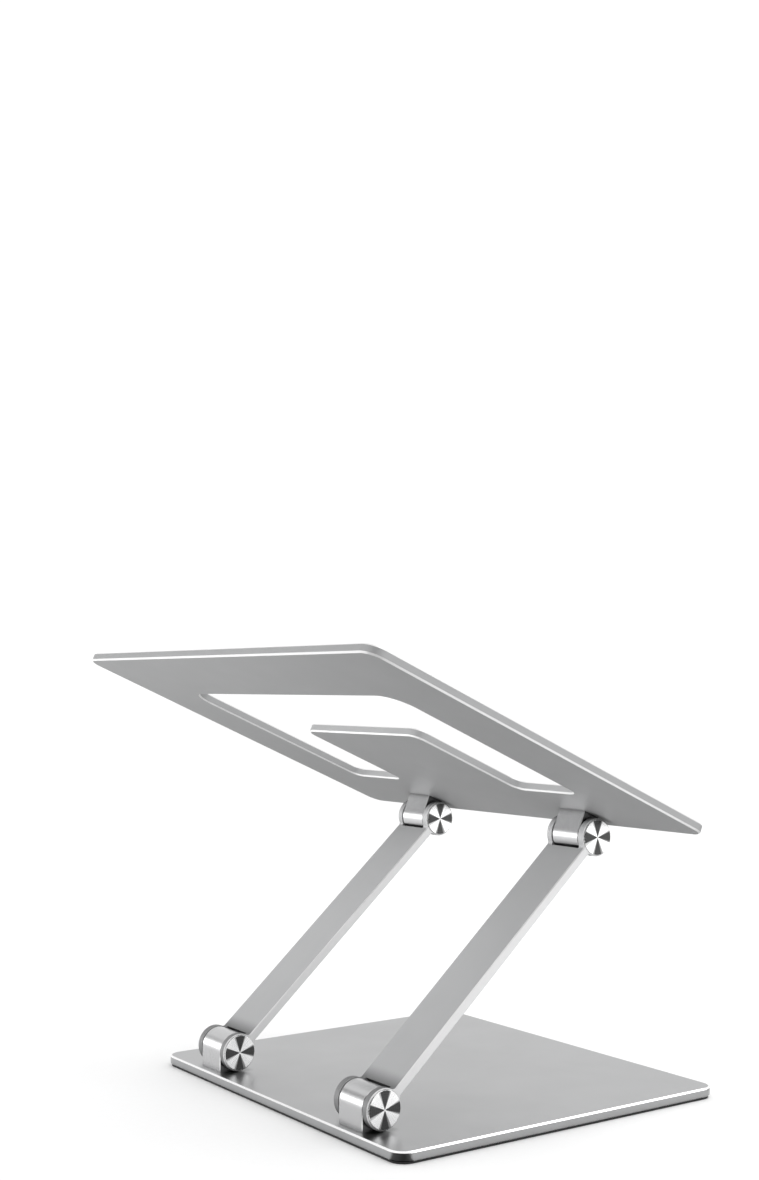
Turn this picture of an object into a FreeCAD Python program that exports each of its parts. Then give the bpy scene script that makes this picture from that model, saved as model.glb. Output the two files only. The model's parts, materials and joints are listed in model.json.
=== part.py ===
"""Folding two-arm laptop stand: a base plate, two forked arms on friction hinges and a ventilated tray.

Units are millimetres. X runs across the stand (+X is the user's right), -Y points at the user and Z is up.
The origin is the middle of the base mat's underside, so the stand rests on the plane Z = 0.
Run it in an empty folder: it writes one STEP file per sub-part to parts/.
"""

import FreeCAD
import Part

import math
import os

from FreeCAD import Placement, Rotation, Vector

# ---------------------------------------------------------------- driving sizes
# Pose at rest
ARM_ANGLE = 41.15           # degrees the arms rise above the desk
TRAY_TILT = 23.65           # degrees the tray's rear edge is raised

# Base plate and its mat
BASE_WIDTH = 233.0
BASE_DEPTH = 208.0
BASE_THICKNESS = 4.7
BASE_CORNER_RADIUS = 9.0
BASE_TOP_CHAMFER = 0.8
BASE_BOTTOM_CHAMFER = 0.5
MAT_THICKNESS = 1.2
MAT_INSET = 0.9             # how far the mat stops short of the plate's edge

# Tray
TRAY_WIDTH = 294.5
TRAY_DEPTH = 227.0
TRAY_THICKNESS = 4.9
TRAY_CORNER_RADIUS = 8.5
TRAY_CHAMFER = 0.85
TRAY_FRONT_OVERHANG = 13.6  # front edge to the upper hinge axis

# Ventilation opening: a U round a tongue that joins the tray at the front
OPENING_SIDE_MARGIN = 45.5  # metal left between the opening and the tray's edges
OPENING_FRONT_MARGIN = 50.5
OPENING_REAR_MARGIN = 49.5
OPENING_LEG_WIDTH = 48.3
OPENING_BAND_DEPTH = 52.0   # the U's closed end, behind the tongue
OPENING_REAR_RADIUS = 14.0
OPENING_FRONT_RADIUS = 6.5
TONGUE_RADIUS = 7.5
OPENING_CHAMFER = 0.8

# Arms
ARM_LENGTH = 184.5          # from hinge axis to hinge axis
ARM_THICKNESS = 4.9
ARM_SPACING = 139.4         # middle of one arm to the middle of the other
ARM_EDGE_CHAMFER = 0.5
EAR_THICKNESS = 4.0         # of each side of a fork, along X
EAR_LIP = 0.3               # how far the round ears stand out past the knuckle
EAR_NECK_FILLET = 2.0

# Knuckles, the blocks that the arms' forks straddle
KNUCKLE_RADIUS = 9.8
KNUCKLE_WIDTH = 20.3
KNUCKLE_LEG_THICKNESS = 10.8
KNUCKLE_EDGE_CHAMFER = 0.35
KNUCKLE_REAR_MARGIN = 4.5   # base knuckle's rear face to the base plate's rear edge
BASE_BARREL_GAP = 0.6       # knuckle's round barrel to the base plate
TRAY_BARREL_GAP = 1.3       # knuckle's round barrel to the tray
WEB_GAP = 1.2               # knuckle to the bottom of the fork

# Hinge hardware
PIN_RADIUS = 4.0
PIN_RUNNING_CLEARANCE = 0.06
PIN_SEAT_CLEARANCE = 0.05
HEAD_RIM = 0.6              # metal left round a head's seat in the ear
HEAD_THICKNESS = 2.1
HEAD_PROUD = 0.5            # how far a head stands out of the arm's side
HEAD_SEAT_CLEARANCE = 0.1
HEAD_CHAMFER = 0.25
HEAD_DIMPLE_RADIUS = 0.55
HEAD_DIMPLE_DEPTH = 0.2
HEX_SOCKET_ACROSS_FLATS = 3.0
HEX_SOCKET_DEPTH = 2.4
PIN_SCREW_RADIUS = 2.5
PIN_SCREW_CLEARANCE = 0.05
PIN_SCREW_ENGAGEMENT = 9.0
PIN_DRILL_EXTRA = 2.0       # depth of the pin's hole past the screw's end
WASHER_THICKNESS = 0.5
WASHER_EDGE_INSET = 1.0     # washer's edge inside the knuckle's
WASHER_BORE_CLEARANCE = 0.2
SPRING_RADIUS = 6.2
SPRING_STACK_HEIGHT = 1.1
SPRING_STRIP_THICKNESS = 0.35
SPRING_SEAT_CLEARANCE = 0.2

# Countersunk screws that hold the knuckles to the plates
SCREW_RADIUS = 2.0
SCREW_HEAD_RADIUS = 3.7
SCREW_HEAD_HEIGHT = 2.2
SCREW_PITCH = 10.4          # the two screws of one knuckle, along X
SCREW_CLEARANCE = 0.03
SCREW_TIP_CLEARANCE = 0.4
SCREW_TIP_WALL = 1.0        # metal left between a screw's hole and the pin's bore
SCREW_TIP_CHAMFER = 0.5
SCREW_SOCKET_ACROSS_FLATS = 2.5
SCREW_SOCKET_DEPTH = 1.5

# Hooks that stop the laptop sliding off the tray's front, each let into the tray by its foot
HOOK_WIDTH = 34.0
HOOK_THICKNESS = 3.2
HOOK_FOOT_THICKNESS = 2.0
HOOK_FOOT_LENGTH = 27.0
HOOK_HEIGHT = 15.0          # above the tray's top
HOOK_HEEL_RADIUS = 1.2
HOOK_INNER_RADIUS = 1.8
HOOK_CORNER_RADIUS = 6.0
HOOK_SEAT_CLEARANCE = 0.05

# Silicone pads
PAD_WIDTH = 20.0
PAD_LENGTH = 176.0
PAD_CORNER_RADIUS = 9.9
PAD_THICKNESS = 1.6
PAD_RECESS = 0.5
PAD_EDGE_MARGIN = 13.0      # pad to the tray's side edge
PAD_CLEARANCE = 0.15
PAD_EDGE_FILLET = 0.5
HOOK_PAD_WIDTH = 26.0
HOOK_PAD_HEIGHT = 10.5
HOOK_PAD_THICKNESS = 1.5
HOOK_PAD_LIFT = 0.8         # above the round between hook and foot
HOOK_PAD_CORNER_RADIUS = 4.0

# ---------------------------------------------------------------- places that follow
EAR_RADIUS = KNUCKLE_RADIUS + EAR_LIP
HEAD_RADIUS = EAR_RADIUS - HEAD_RIM - HEAD_SEAT_CLEARANCE
BASE_KNUCKLE_HEIGHT = KNUCKLE_RADIUS + BASE_BARREL_GAP
TRAY_KNUCKLE_HEIGHT = KNUCKLE_RADIUS + TRAY_BARREL_GAP
BASE_TOP_Z = MAT_THICKNESS + BASE_THICKNESS
LOWER_AXIS_Y = BASE_DEPTH / 2 - KNUCKLE_REAR_MARGIN - KNUCKLE_RADIUS
LOWER_AXIS_Z = BASE_TOP_Z + BASE_KNUCKLE_HEIGHT
UPPER_AXIS_Y = LOWER_AXIS_Y - ARM_LENGTH * math.cos(math.radians(ARM_ANGLE))
UPPER_AXIS_Z = LOWER_AXIS_Z + ARM_LENGTH * math.sin(math.radians(ARM_ANGLE))
SIDES = {"left": -ARM_SPACING / 2, "right": ARM_SPACING / 2}

# Along X from the middle of a hinge
KNUCKLE_SIDE_X = KNUCKLE_WIDTH / 2
EAR_INNER_X = KNUCKLE_SIDE_X + WASHER_THICKNESS
ARM_SIDE_X = EAR_INNER_X + EAR_THICKNESS
HEAD_SEAT_X = ARM_SIDE_X + HEAD_PROUD - HEAD_THICKNESS
SPRING_SEAT_X = HEAD_SEAT_X - SPRING_STACK_HEIGHT
PIN_END_X = SPRING_SEAT_X - PIN_SEAT_CLEARANCE
SCREW_END_X = SPRING_SEAT_X - PIN_SCREW_ENGAGEMENT

# The knuckle's leg, along Y from the hinge axis, and its screws
LEG_FRONT_Y = KNUCKLE_RADIUS - KNUCKLE_LEG_THICKNESS
SCREW_Y = KNUCKLE_RADIUS - KNUCKLE_LEG_THICKNESS / 2
SCREW_LEVEL = PIN_RADIUS + PIN_RUNNING_CLEARANCE + SCREW_TIP_WALL    # end of a screw's hole, from the axis

# The tray's own frame: the upper hinge axis is its origin, +Y runs to the rear edge, +Z out of the top
TRAY_BOTTOM = TRAY_KNUCKLE_HEIGHT
TRAY_TOP = TRAY_BOTTOM + TRAY_THICKNESS
TRAY_FRONT = -TRAY_FRONT_OVERHANG
TRAY_REAR = TRAY_FRONT + TRAY_DEPTH
CUT_OVERRUN = 1.0           # how far a cutting tool passes through a face

X_AXIS = Vector(1, 0, 0)
Y_AXIS = Vector(0, 1, 0)
Z_AXIS = Vector(0, 0, 1)


# ---------------------------------------------------------------- frames
def in_base(shape):
    """The base is modelled where it stands."""
    return shape


def in_arm(shape):
    """From an arm's frame, lower axis at its origin and pointing along -Y, to its raised place."""
    turned = shape.copy()
    lower_axis = Vector(0, LOWER_AXIS_Y, LOWER_AXIS_Z)
    turned.Placement = Placement(lower_axis, Rotation(X_AXIS, -ARM_ANGLE)).multiply(turned.Placement)
    return turned


def in_tray(shape):
    """From the tray's frame to its tilted place on the upper hinge axis."""
    turned = shape.copy()
    upper_axis = Vector(0, UPPER_AXIS_Y, UPPER_AXIS_Z)
    turned.Placement = Placement(upper_axis, Rotation(X_AXIS, TRAY_TILT)).multiply(turned.Placement)
    return turned


def turned_over(shape):
    """A copy of shape turned half a turn about Y, so that what stood below the axis hangs above it."""
    copy = shape.copy()
    copy.rotate(Vector(0, 0, 0), Y_AXIS, 180)
    return copy


def moved(shape, x=0.0, y=0.0, z=0.0):
    """A copy of shape moved by x, y and z."""
    copy = shape.copy()
    copy.translate(Vector(x, y, z))
    return copy


# ---------------------------------------------------------------- building blocks
EDGE_TOLERANCE = 1e-4       # how near an edge lies to the plane it is picked by


def box(x_low, x_high, y_low, y_high, z_low, z_high):
    """A box between two corners."""
    return Part.makeBox(x_high - x_low, y_high - y_low, z_high - z_low, Vector(x_low, y_low, z_low))


def rod(radius, x_low, x_high):
    """A cylinder along X, on the hinge axis."""
    return Part.makeCylinder(radius, x_high - x_low, Vector(x_low, 0, 0), X_AXIS)


def edges_parallel_to(shape, axis):
    """Straight edges of shape that run along axis."""
    found = []
    for edge in shape.Edges:
        if isinstance(edge.Curve, Part.Line):
            direction = edge.tangentAt(edge.FirstParameter)
            if abs(direction.dot(axis)) > 1 - EDGE_TOLERANCE:
                found.append(edge)
    return found


def edges_on_plane(shape, axis, offset):
    """Edges of shape that lie wholly in the plane at offset along axis."""
    found = []
    for edge in shape.Edges:
        samples = edge.discretize(5)
        if all(abs(point.dot(axis) - offset) < EDGE_TOLERANCE for point in samples):
            found.append(edge)
    return found


def rounded_plate(x_low, x_high, y_low, y_high, z_low, z_high, radius):
    """A flat plate whose four upright corners are rounded."""
    plate = box(x_low, x_high, y_low, y_high, z_low, z_high)
    return plate.makeFillet(radius, edges_parallel_to(plate, Z_AXIS))


def hexagonal_prism(across_flats, x_low, x_high):
    """A hexagonal bar along X, on the hinge axis."""
    corner_radius = across_flats / math.sqrt(3)
    corners = []
    for step in range(7):
        turn = math.radians(60 * step)
        corners.append(Vector(x_low, corner_radius * math.cos(turn), corner_radius * math.sin(turn)))
    return Part.Face(Part.makePolygon(corners)).extrude(Vector(x_high - x_low, 0, 0))


def arc_between(start, middle, end):
    """The edge of a circle through three points."""
    return Part.Arc(start, middle, end).toShape()


def line_between(start, end):
    """A straight edge."""
    return Part.LineSegment(start, end).toShape()


# ---------------------------------------------------------------- base
def base_plate():
    """Bevelled plate with countersunk holes, drilled from below, for the knuckle screws."""
    half_width = BASE_WIDTH / 2
    half_depth = BASE_DEPTH / 2
    plate = rounded_plate(-half_width, half_width, -half_depth, half_depth,
                          MAT_THICKNESS, BASE_TOP_Z, BASE_CORNER_RADIUS)
    plate = plate.makeChamfer(BASE_TOP_CHAMFER, edges_on_plane(plate, Z_AXIS, BASE_TOP_Z))
    plate = plate.makeChamfer(BASE_BOTTOM_CHAMFER, edges_on_plane(plate, Z_AXIS, MAT_THICKNESS))
    hole = countersunk_hole(BASE_THICKNESS)
    for x in SIDES.values():
        for screw_x in screw_places():
            plate = plate.cut(moved(hole, x + screw_x, LOWER_AXIS_Y + SCREW_Y, MAT_THICKNESS))
    return plate


def base_mat():
    """Thin rubber mat under the whole plate, a little smaller than it."""
    half_width = BASE_WIDTH / 2 - MAT_INSET
    half_depth = BASE_DEPTH / 2 - MAT_INSET
    return rounded_plate(-half_width, half_width, -half_depth, half_depth,
                         0, MAT_THICKNESS, BASE_CORNER_RADIUS - MAT_INSET)


# ---------------------------------------------------------------- knuckles and their screws
def knuckle(height):
    """Round-topped block on the hinge axis; its leg stands on a plate below, flush with the rear of the barrel."""
    barrel = rod(KNUCKLE_RADIUS, -KNUCKLE_SIDE_X, KNUCKLE_SIDE_X)
    leg = box(-KNUCKLE_SIDE_X, KNUCKLE_SIDE_X, LEG_FRONT_Y, KNUCKLE_RADIUS, -height, 0)
    block = barrel.fuse(leg).removeSplitter()
    side_edges = edges_on_plane(block, X_AXIS, -KNUCKLE_SIDE_X) + edges_on_plane(block, X_AXIS, KNUCKLE_SIDE_X)
    rim_edges = [edge for edge in side_edges if edge.BoundBox.ZMax > -height + EDGE_TOLERANCE]
    block = block.makeChamfer(KNUCKLE_EDGE_CHAMFER, rim_edges)
    bore_radius = PIN_RADIUS + PIN_RUNNING_CLEARANCE
    block = block.cut(rod(bore_radius, -KNUCKLE_SIDE_X - CUT_OVERRUN, KNUCKLE_SIDE_X + CUT_OVERRUN))
    for screw_x in screw_places():
        foot = Vector(screw_x, SCREW_Y, -height)
        block = block.cut(Part.makeCylinder(SCREW_RADIUS + SCREW_CLEARANCE, height - SCREW_LEVEL, foot, Z_AXIS))
    return block


def screw_places():
    """X of a knuckle's two screws, from its middle."""
    return (-SCREW_PITCH / 2, SCREW_PITCH / 2)


def countersunk_hole(plate_thickness):
    """Cutting tool for one screw, its head at Z = 0 and its tip along +Z."""
    head = Part.makeCone(SCREW_HEAD_RADIUS + SCREW_CLEARANCE, SCREW_RADIUS + SCREW_CLEARANCE,
                         SCREW_HEAD_HEIGHT)
    mouth = Part.makeCylinder(SCREW_HEAD_RADIUS + SCREW_CLEARANCE, CUT_OVERRUN, Vector(0, 0, -CUT_OVERRUN))
    shank = Part.makeCylinder(SCREW_RADIUS + SCREW_CLEARANCE, plate_thickness + CUT_OVERRUN)
    return head.fuse([mouth, shank])


def countersunk_screw(length):
    """Flat-headed socket screw, its head flush with Z = 0 and its tip along +Z."""
    head = Part.makeCone(SCREW_HEAD_RADIUS, SCREW_RADIUS, SCREW_HEAD_HEIGHT)
    shank = Part.makeCylinder(SCREW_RADIUS, length)
    shank = shank.makeChamfer(SCREW_TIP_CHAMFER, edges_on_plane(shank, Z_AXIS, length))
    screw = head.fuse(shank).removeSplitter()
    socket = hexagonal_prism(SCREW_SOCKET_ACROSS_FLATS, 0, SCREW_SOCKET_DEPTH)
    socket.rotate(Vector(0, 0, 0), Y_AXIS, -90)
    return screw.cut(socket)


def knuckle_screws(plate_thickness, knuckle_height):
    """The four screws of one plate, below knuckles on an axis at the origin."""
    length = plate_thickness + knuckle_height - SCREW_LEVEL - SCREW_TIP_CLEARANCE
    head_z = -knuckle_height - plate_thickness
    screws = []
    for x in SIDES.values():
        for screw_x in screw_places():
            screws.append(moved(countersunk_screw(length), x + screw_x, SCREW_Y, head_z))
    return Part.makeCompound(screws)


# ---------------------------------------------------------------- arms
def arm_outline(x):
    """Side view of an arm as a wire in the plane at x: two round ears joined by a flat bar."""
    half = ARM_THICKNESS / 2
    reach = EAR_RADIUS + EAR_NECK_FILLET
    neck_y = -math.sqrt(reach ** 2 - (half + EAR_NECK_FILLET) ** 2)
    neck_turn = math.atan2(half + EAR_NECK_FILLET, neck_y)
    ear_y = EAR_RADIUS * math.cos(neck_turn)
    ear_z = EAR_RADIUS * math.sin(neck_turn)
    middle_turn = (neck_turn - 1.5 * math.pi) / 2
    middle_y = neck_y + EAR_NECK_FILLET * math.cos(middle_turn)
    middle_z = half + EAR_NECK_FILLET + EAR_NECK_FILLET * math.sin(middle_turn)

    def place(y, z):
        return Vector(x, y, z)

    def far(y, z):
        return Vector(x, -ARM_LENGTH - y, z)

    edges = [
        arc_between(place(ear_y, -ear_z), place(EAR_RADIUS, 0), place(ear_y, ear_z)),
        arc_between(place(ear_y, ear_z), place(middle_y, middle_z), place(neck_y, half)),
        line_between(place(neck_y, half), far(neck_y, half)),
        arc_between(far(neck_y, half), far(middle_y, middle_z), far(ear_y, ear_z)),
        arc_between(far(ear_y, ear_z), far(EAR_RADIUS, 0), far(ear_y, -ear_z)),
        arc_between(far(ear_y, -ear_z), far(middle_y, -middle_z), far(neck_y, -half)),
        line_between(far(neck_y, -half), place(neck_y, -half)),
        arc_between(place(neck_y, -half), place(middle_y, -middle_z), place(ear_y, -ear_z)),
    ]
    return Part.Wire(edges)


def fork_cut():
    """What is taken out of one end of an arm: the fork's slot, the pin's bores and the heads' seats."""
    slot = box(-EAR_INNER_X, EAR_INNER_X, -(KNUCKLE_RADIUS + WEB_GAP), EAR_RADIUS + CUT_OVERRUN,
               -(EAR_RADIUS + CUT_OVERRUN), EAR_RADIUS + CUT_OVERRUN)
    bore = rod(PIN_RADIUS + PIN_SEAT_CLEARANCE, -HEAD_SEAT_X - CUT_OVERRUN, SPRING_SEAT_X + CUT_OVERRUN)
    seat_radius = HEAD_RADIUS + HEAD_SEAT_CLEARANCE
    pin_head_seat = rod(seat_radius, -ARM_SIDE_X - CUT_OVERRUN, -HEAD_SEAT_X)
    screw_head_seat = rod(seat_radius, HEAD_SEAT_X, ARM_SIDE_X + CUT_OVERRUN)
    spring_seat = rod(SPRING_RADIUS + SPRING_SEAT_CLEARANCE, SPRING_SEAT_X, HEAD_SEAT_X + CUT_OVERRUN)
    return slot.fuse([bore, pin_head_seat, screw_head_seat, spring_seat])


def arm():
    """Flat bar with a fork at each end, in the arm's frame."""
    bar = Part.Face(arm_outline(-ARM_SIDE_X)).extrude(Vector(2 * ARM_SIDE_X, 0, 0))
    rims = edges_on_plane(bar, X_AXIS, -ARM_SIDE_X) + edges_on_plane(bar, X_AXIS, ARM_SIDE_X)
    bar = bar.makeChamfer(ARM_EDGE_CHAMFER, rims)
    lower_cut = fork_cut()
    upper_cut = fork_cut().mirror(Vector(0, 0, 0), Y_AXIS)
    return bar.cut([lower_cut, moved(upper_cut, y=-ARM_LENGTH)])


# ---------------------------------------------------------------- hinge hardware, on the hinge axis
def hinge_head(seat_x, face_x):
    """Round head between its seat and its outer face, with the outer rim eased."""
    head = rod(HEAD_RADIUS, min(seat_x, face_x), max(seat_x, face_x))
    return head.makeChamfer(HEAD_CHAMFER, edges_on_plane(head, X_AXIS, face_x))


def hinge_pin():
    """Hollow pin with a turned head, pushed in from the user's left."""
    face_x = -(HEAD_SEAT_X + HEAD_THICKNESS)
    pin = hinge_head(-HEAD_SEAT_X, face_x).fuse(rod(PIN_RADIUS, -HEAD_SEAT_X, PIN_END_X)).removeSplitter()
    dimple = Part.makeCone(HEAD_DIMPLE_RADIUS, 0, HEAD_DIMPLE_DEPTH, Vector(face_x, 0, 0), X_AXIS)
    hole = rod(PIN_SCREW_RADIUS + PIN_SCREW_CLEARANCE, SCREW_END_X - PIN_DRILL_EXTRA, PIN_END_X + CUT_OVERRUN)
    return pin.cut([dimple, hole])


def hinge_screw():
    """Screw with a matching head and a hexagon socket, which clamps the hinge from the user's right."""
    face_x = HEAD_SEAT_X + HEAD_THICKNESS
    shank = rod(PIN_SCREW_RADIUS, SCREW_END_X, HEAD_SEAT_X)
    shank = shank.makeChamfer(SCREW_TIP_CHAMFER, edges_on_plane(shank, X_AXIS, SCREW_END_X))
    screw = hinge_head(HEAD_SEAT_X, face_x).fuse(shank).removeSplitter()
    return screw.cut(hexagonal_prism(HEX_SOCKET_ACROSS_FLATS, face_x - HEX_SOCKET_DEPTH, face_x + CUT_OVERRUN))


def disc_spring(narrow_x, wide_x):
    """Dished washer round the pin's screw, narrow end at narrow_x and rim at wide_x."""
    inner = PIN_SCREW_RADIUS + WASHER_BORE_CLEARANCE
    strip = math.copysign(SPRING_STRIP_THICKNESS, wide_x - narrow_x)
    corners = [
        Vector(narrow_x, inner, 0),
        Vector(wide_x - strip, SPRING_RADIUS, 0),
        Vector(wide_x, SPRING_RADIUS, 0),
        Vector(narrow_x + strip, inner, 0),
        Vector(narrow_x, inner, 0),
    ]
    return Part.Face(Part.makePolygon(corners)).revolve(Vector(0, 0, 0), X_AXIS, 360)


def disc_springs():
    """Two dished washers rim to rim, which keep the hinge clamped as it wears."""
    middle_x = (SPRING_SEAT_X + HEAD_SEAT_X) / 2
    return Part.makeCompound([disc_spring(SPRING_SEAT_X, middle_x), disc_spring(HEAD_SEAT_X, middle_x)])


def friction_washers():
    """Plastic washers on both sides of the knuckle."""
    washers = []
    for inner_x in (-EAR_INNER_X, KNUCKLE_SIDE_X):
        ring = rod(KNUCKLE_RADIUS - WASHER_EDGE_INSET, inner_x, inner_x + WASHER_THICKNESS)
        hole = rod(PIN_RADIUS + WASHER_BORE_CLEARANCE, inner_x - CUT_OVERRUN, inner_x + CUT_OVERRUN)
        washers.append(ring.cut(hole))
    return Part.makeCompound(washers)


# ---------------------------------------------------------------- tray, in the tray's frame
def opening_limits():
    """The opening's half width, front and rear, from the edges of the tray."""
    return TRAY_WIDTH / 2 - OPENING_SIDE_MARGIN, TRAY_FRONT + OPENING_FRONT_MARGIN, TRAY_REAR - OPENING_REAR_MARGIN


def opening_cut():
    """Cutting tool for the U-shaped opening."""
    half_width, front, rear = opening_limits()
    outer = box(-half_width, half_width, front, rear, TRAY_BOTTOM, TRAY_TOP)
    rear_corners = [e for e in edges_parallel_to(outer, Z_AXIS) if e.BoundBox.YMin > rear - EDGE_TOLERANCE]
    outer = outer.makeFillet(OPENING_REAR_RADIUS, rear_corners)
    tongue_half = half_width - OPENING_LEG_WIDTH
    tongue_rear = rear - OPENING_BAND_DEPTH
    tongue = box(-tongue_half, tongue_half, front - CUT_OVERRUN, tongue_rear, TRAY_BOTTOM, TRAY_TOP)
    tongue_corners = [e for e in edges_parallel_to(tongue, Z_AXIS) if e.BoundBox.YMin > front]
    tongue = tongue.makeFillet(TONGUE_RADIUS, tongue_corners)
    hollow = outer.cut(tongue)
    front_corners = [e for e in edges_parallel_to(hollow, Z_AXIS) if e.BoundBox.YMax < front + EDGE_TOLERANCE]
    return hollow.makeFillet(OPENING_FRONT_RADIUS, front_corners)


def tray_blank():
    """The tray's plate, rounded, opened and chamfered."""
    plate = rounded_plate(-TRAY_WIDTH / 2, TRAY_WIDTH / 2, TRAY_FRONT, TRAY_REAR,
                          TRAY_BOTTOM, TRAY_TOP, TRAY_CORNER_RADIUS)
    for face_z in (TRAY_BOTTOM, TRAY_TOP):
        plate = plate.makeChamfer(TRAY_CHAMFER, edges_on_plane(plate, Z_AXIS, face_z))
    plate = plate.cut(opening_cut())
    half_width, front, rear = opening_limits()
    for face_z in (TRAY_BOTTOM, TRAY_TOP):
        rim = [e for e in edges_on_plane(plate, Z_AXIS, face_z)
               if e.BoundBox.XMax < half_width + EDGE_TOLERANCE and e.BoundBox.XMin > -half_width - EDGE_TOLERANCE
               and e.BoundBox.YMax < rear + EDGE_TOLERANCE and e.BoundBox.YMin > front - EDGE_TOLERANCE]
        plate = plate.makeChamfer(OPENING_CHAMFER, rim)
    return plate


def tray_plate():
    """Ventilated tray with seats for the hooks and pads, and holes for the knuckle screws."""
    plate = tray_blank()
    for x in SIDES.values():
        plate = plate.cut(hook_foot(x, HOOK_SEAT_CLEARANCE, CUT_OVERRUN))
        for tool in screw_hole_tools(x):
            plate = plate.cut(tool)
    for side in (-1, 1):
        plate = plate.cut(pad_shape(side, TRAY_TOP - PAD_RECESS, TRAY_TOP + CUT_OVERRUN, PAD_CLEARANCE))
    return plate


def screw_hole_tools(x):
    """Cutting tools for the two knuckle screws at x, through hook foot and tray from the top."""
    hole = turned_over(countersunk_hole(TRAY_THICKNESS))
    return [moved(hole, x + screw_x, SCREW_Y, TRAY_TOP) for screw_x in screw_places()]


def hook_foot(x, growth, overrun):
    """A hook's foot, or with growth and overrun the seat that is cut for it in the tray."""
    half = HOOK_WIDTH / 2 + growth
    return box(x - half, x + half, TRAY_FRONT - overrun, TRAY_FRONT + HOOK_FOOT_LENGTH + growth,
               TRAY_TOP - HOOK_FOOT_THICKNESS, TRAY_TOP + overrun)


def front_hook(x):
    """L-shaped hook centred on x: a foot let into the tray and an upright with rounded upper corners."""
    half = HOOK_WIDTH / 2
    top_z = TRAY_TOP + HOOK_HEIGHT
    upright = box(x - half, x + half, TRAY_FRONT, TRAY_FRONT + HOOK_THICKNESS,
                  TRAY_TOP - HOOK_FOOT_THICKNESS, top_z)
    upper_corners = [e for e in edges_parallel_to(upright, Y_AXIS) if e.BoundBox.ZMin > top_z - EDGE_TOLERANCE]
    upright = upright.makeFillet(HOOK_CORNER_RADIUS, upper_corners)
    hook = upright.fuse(hook_foot(x, 0, 0)).removeSplitter()
    along_x = edges_parallel_to(hook, X_AXIS)
    inner = [e for e in along_x if abs(e.BoundBox.ZMin - TRAY_TOP) < EDGE_TOLERANCE
             and abs(e.BoundBox.YMin - TRAY_FRONT - HOOK_THICKNESS) < EDGE_TOLERANCE]
    heel = [e for e in along_x if e.BoundBox.YMax < TRAY_FRONT + EDGE_TOLERANCE
            and e.BoundBox.ZMax < TRAY_TOP]
    hook = hook.makeFillet(HOOK_INNER_RADIUS, inner)
    hook = hook.makeFillet(HOOK_HEEL_RADIUS, [e for e in edges_parallel_to(hook, X_AXIS)
                                              if any(e.CenterOfMass.isEqual(h.CenterOfMass, EDGE_TOLERANCE)
                                                     for h in heel)])
    return hook.cut(screw_hole_tools(x))


def pad_shape(side, z_low, z_high, growth):
    """A side pad's outline as a solid, grown all round."""
    outer_x = TRAY_WIDTH / 2 - PAD_EDGE_MARGIN
    x_low = outer_x - PAD_WIDTH
    middle_y = (TRAY_FRONT + TRAY_REAR) / 2
    strip = rounded_plate(x_low - growth, outer_x + growth,
                          middle_y - PAD_LENGTH / 2 - growth, middle_y + PAD_LENGTH / 2 + growth,
                          z_low, z_high, PAD_CORNER_RADIUS + growth)
    if side < 0:
        strip = strip.mirror(Vector(0, 0, 0), X_AXIS)
    return strip


def tray_pad(side):
    """Silicone strip along one side of the tray."""
    low = TRAY_TOP - PAD_RECESS
    pad = pad_shape(side, low, low + PAD_THICKNESS, 0)
    return pad.makeFillet(PAD_EDGE_FILLET, edges_on_plane(pad, Z_AXIS, low + PAD_THICKNESS))


def hook_pad(x):
    """Silicone pad on the inner face of a hook."""
    inner_y = TRAY_FRONT + HOOK_THICKNESS
    low_z = TRAY_TOP + HOOK_INNER_RADIUS + HOOK_PAD_LIFT
    pad = box(x - HOOK_PAD_WIDTH / 2, x + HOOK_PAD_WIDTH / 2, inner_y, inner_y + HOOK_PAD_THICKNESS,
              low_z, low_z + HOOK_PAD_HEIGHT)
    pad = pad.makeFillet(HOOK_PAD_CORNER_RADIUS, edges_parallel_to(pad, Y_AXIS))
    return pad.makeFillet(PAD_EDGE_FILLET, edges_on_plane(pad, Y_AXIS, inner_y + HOOK_PAD_THICKNESS))


# ---------------------------------------------------------------- assembly
def base_parts():
    """Node name to shape, for everything fixed to the base."""
    parts = {"base_plate": base_plate(), "base_mat": base_mat()}
    for side, x in SIDES.items():
        parts[f"base_knuckle_{side}"] = moved(knuckle(BASE_KNUCKLE_HEIGHT), x, LOWER_AXIS_Y, LOWER_AXIS_Z)
    screws = knuckle_screws(BASE_THICKNESS, BASE_KNUCKLE_HEIGHT)
    parts["base_knuckle_screws"] = moved(screws, y=LOWER_AXIS_Y, z=LOWER_AXIS_Z)
    return parts


def arm_parts(side, x):
    """Node name to shape, for one arm and the hardware in its two forks."""
    parts = {f"{side}_arm": moved(arm(), x)}
    for place, y in (("lower", 0.0), ("upper", -ARM_LENGTH)):
        parts[f"{side}_{place}_pin"] = moved(hinge_pin(), x, y)
        parts[f"{side}_{place}_pin_screw"] = moved(hinge_screw(), x, y)
        parts[f"{side}_{place}_disc_springs"] = moved(disc_springs(), x, y)
        parts[f"{side}_{place}_friction_washers"] = moved(friction_washers(), x, y)
    return parts


def tray_parts():
    """Node name to shape, for everything fixed to the tray."""
    parts = {"tray_plate": tray_plate()}
    for side, x in SIDES.items():
        parts[f"tray_knuckle_{side}"] = moved(turned_over(knuckle(TRAY_KNUCKLE_HEIGHT)), x)
        parts[f"front_hook_{side}"] = front_hook(x)
        parts[f"hook_pad_{side}"] = hook_pad(x)
        parts[f"tray_pad_{side}"] = tray_pad(math.copysign(1, x))
    parts["tray_knuckle_screws"] = turned_over(knuckle_screws(TRAY_THICKNESS, TRAY_KNUCKLE_HEIGHT))
    return parts


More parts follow.
